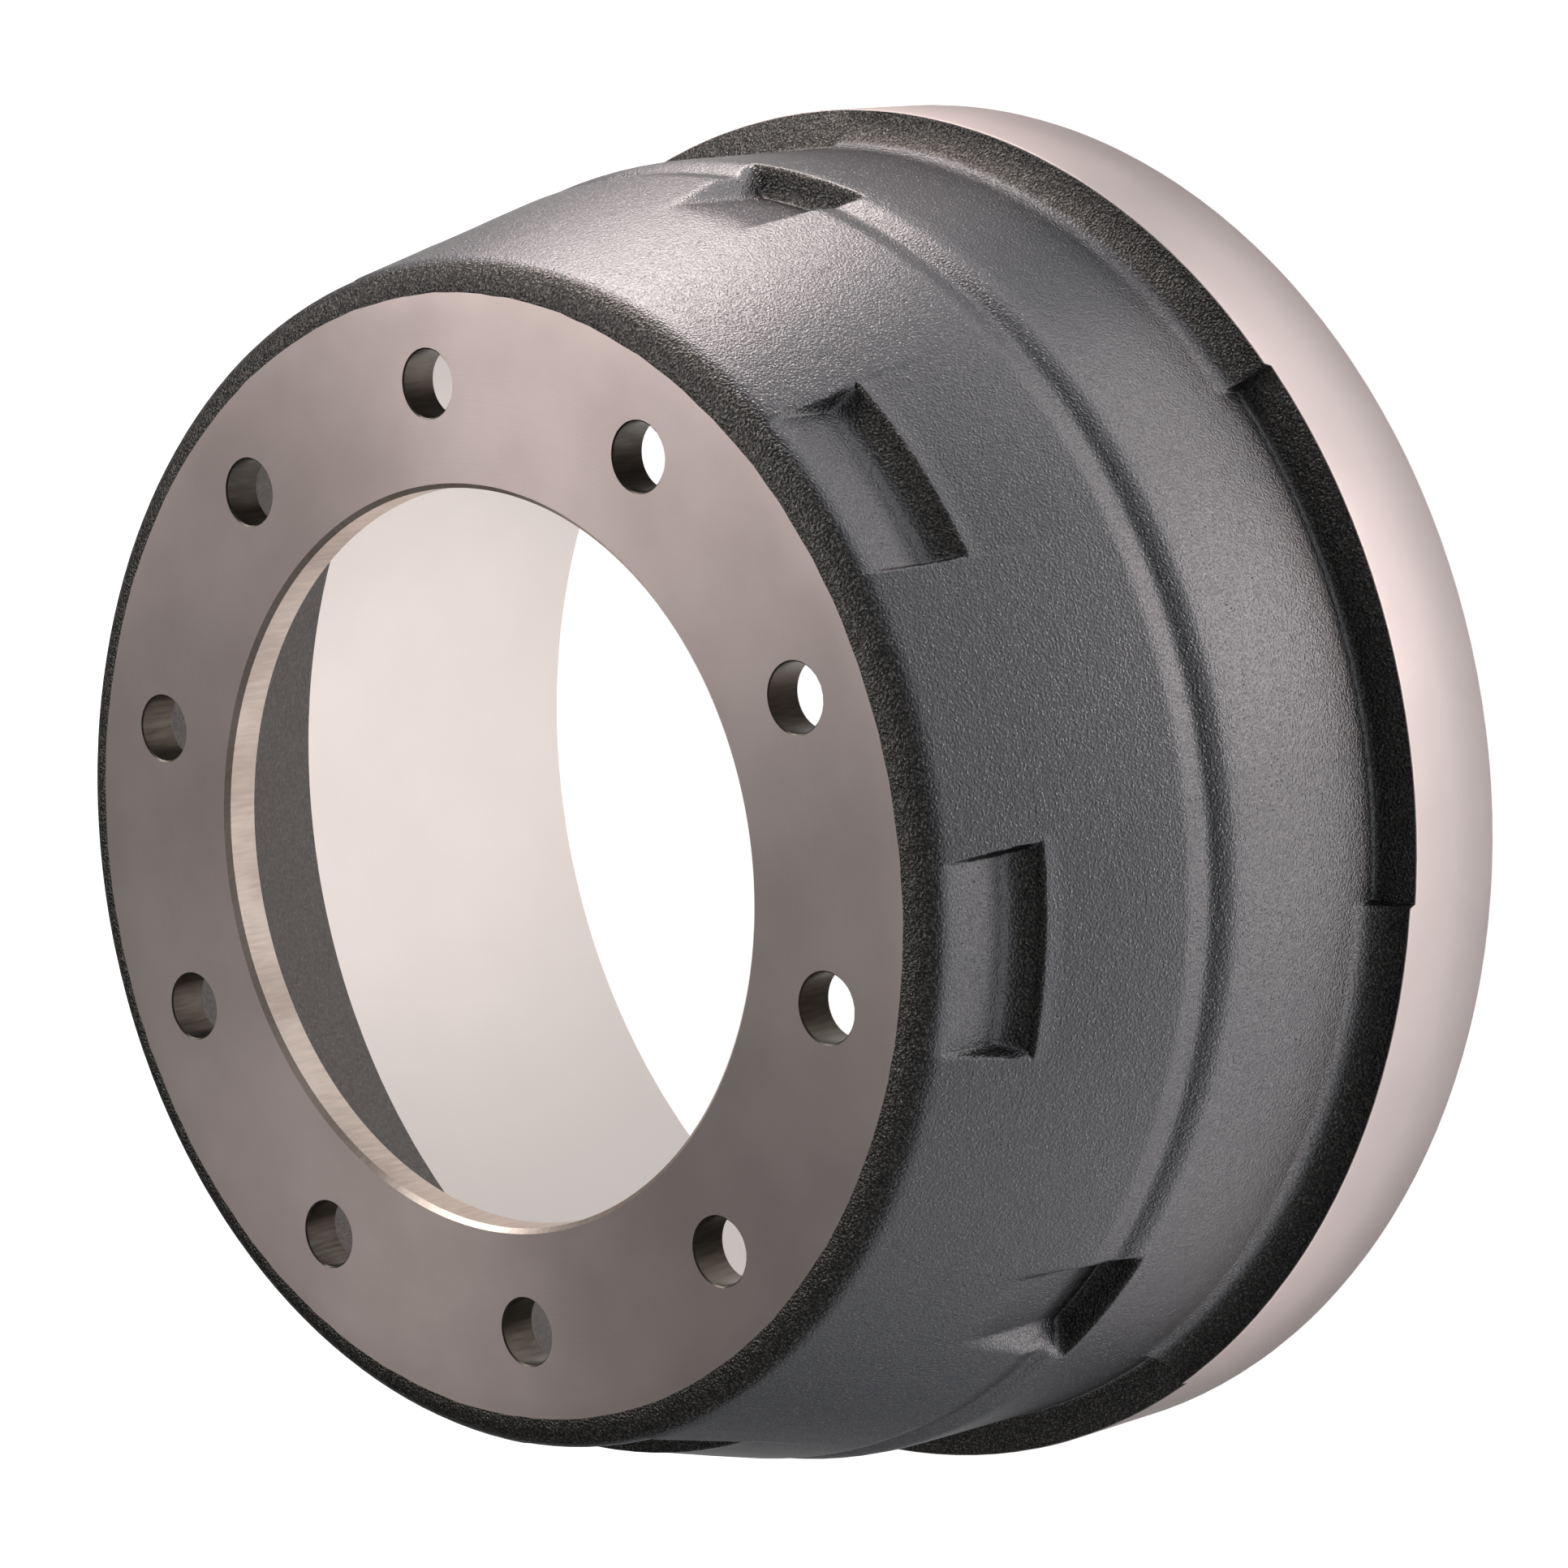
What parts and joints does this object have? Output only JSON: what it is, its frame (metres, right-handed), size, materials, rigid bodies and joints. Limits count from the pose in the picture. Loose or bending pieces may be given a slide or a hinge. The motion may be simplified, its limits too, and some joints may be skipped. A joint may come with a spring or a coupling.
{
  "type": "brake drum",
  "caption": "Cast iron brake drum: machined mounting flange with wheel bolt holes and pilot bore, conical shoulder with cast pockets, smooth inner braking surface and raised machined band.",
  "frame": {"origin": "centre of the bolt circle and pilot bore on the machined mounting face", "axes": "+Z along the drum's axis out of the mounting face, towards the wheel; +X through the middle of one of the three shoulder pockets, midway between two bolt holes"},
  "size_m": [0.435, 0.435, 0.2262],
  "materials": {
    "cast_iron": "as cast outside, turned on the flange, the bores and the band"
  },
  "bodies": {
    "root": {"brake_drum": "cast_iron"}
  },
  "joints": []
}
